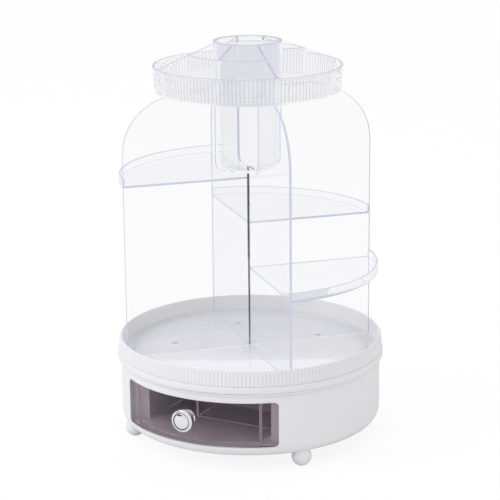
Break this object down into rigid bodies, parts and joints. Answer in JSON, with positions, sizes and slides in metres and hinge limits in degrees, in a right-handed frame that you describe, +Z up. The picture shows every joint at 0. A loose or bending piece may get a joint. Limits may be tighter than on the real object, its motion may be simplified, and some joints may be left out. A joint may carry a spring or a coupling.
{
  "type": "rotating cosmetics organizer",
  "caption": "Rotating makeup organizer: white round base with a clear drawer and ball feet, fluted turntable with clear crossed panels, quarter shelves, divided top tray and brush cup.",
  "frame": {"origin": "on the turning axis, on the surface that the ball feet stand on", "axes": "+Z up along the turning axis; the drawer opens towards -Y; +X is to the right of someone facing the drawer"},
  "size_m": [0.23, 0.2403, 0.3413],
  "materials": {
    "white_plastic": "satin gloss",
    "clear_plastic": "clear, polished",
    "drawer_clear": "clear, polished",
    "chrome": "mirror",
    "steel": "zinc plated",
    "bearing_plastic": "matte"
  },
  "bodies": {
    "base": {"drum_shell": "white_plastic", "drum_deck": "white_plastic", "drawer_cell": "white_plastic", "ball_feet": "white_plastic", "foot_screws": "steel", "deck_screws": "steel", "lower_race": "bearing_plastic"},
    "bearing": {"bearing_cage": "bearing_plastic", "bearing_balls": "steel"},
    "turntable": {"turntable_tray": "white_plastic", "upper_race": "bearing_plastic", "race_screws": "steel", "pivot_washer": "steel", "pivot_screw": "steel", "tray_insert": "clear_plastic", "divider_panel_a": "clear_plastic", "divider_panel_b": "clear_plastic", "shelf_high": "clear_plastic", "shelf_middle": "clear_plastic", "shelf_low": "clear_plastic"},
    "top": {"top_tray": "clear_plastic", "brush_cup": "clear_plastic"},
    "drawer": {"drawer_box": "drawer_clear", "drawer_knob": "chrome", "knob_dome": "chrome", "knob_screw": "steel", "knob_washer": "steel"}
  },
  "joints": [
    {"name": "tray_spin", "type": "hinge", "parent": "base", "child": "turntable", "pos_m": [0, 0, 0.0682], "axis": [0, 0, 1], "continuous": true},
    {"name": "bearing_spin", "type": "hinge", "parent": "base", "child": "bearing", "pos_m": [0, 0, 0.0682], "axis": [0, 0, 1], "continuous": true},
    {"name": "top_tray_lift", "type": "slide", "parent": "turntable", "child": "top", "axis": [0, 0, 1], "range_m": [0, 0.075]},
    {"name": "drawer_slide", "type": "slide", "parent": "base", "child": "drawer", "axis": [0, -1, 0], "range_m": [0, 0.056]}
  ],
  "couplings": [
    {"joint": "bearing_spin", "follows": "tray_spin", "ratio": 0.5}
  ]
}
